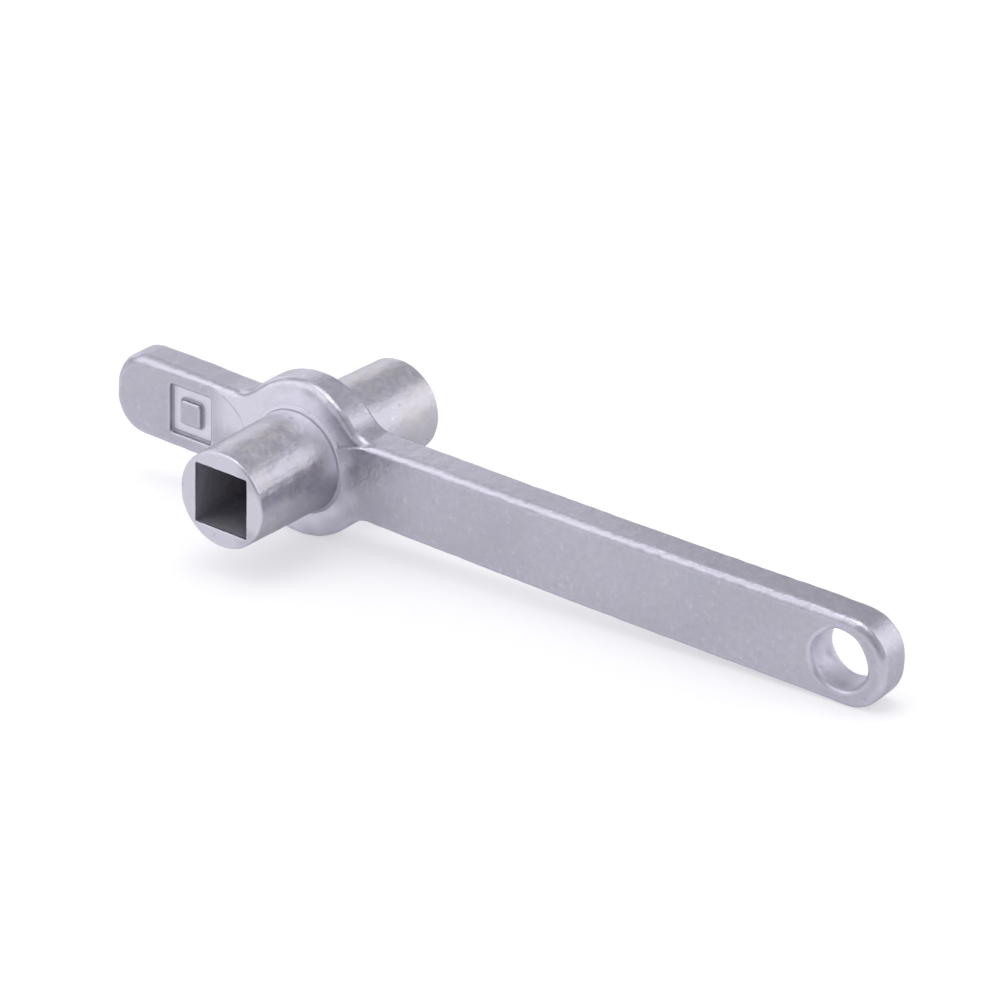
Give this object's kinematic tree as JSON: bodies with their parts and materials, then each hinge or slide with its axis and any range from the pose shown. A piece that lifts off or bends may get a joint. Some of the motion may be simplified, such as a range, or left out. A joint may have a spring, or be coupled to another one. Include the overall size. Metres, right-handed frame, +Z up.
{
  "type": "hydrant wrench",
  "caption": "Hand wrench for square spindles: a flat rounded lever with a short arm, a long bar with a hang hole and opposed tubular sockets at its round hub.",
  "frame": {"origin": "on the common axis of the sockets, at the middle of the lever's thickness", "axes": "+X along the long bar to the hang hole, +Y out of the rear socket, +Z up the height of the bar"},
  "size_m": [0.1175, 0.0364, 0.0212],
  "materials": {
    "cast_lever": "blasted satin",
    "cast_socket": "satin"
  },
  "bodies": {
    "root": {"lever": "cast_lever", "front_socket": "cast_socket", "rear_socket": "cast_socket"}
  },
  "joints": []
}
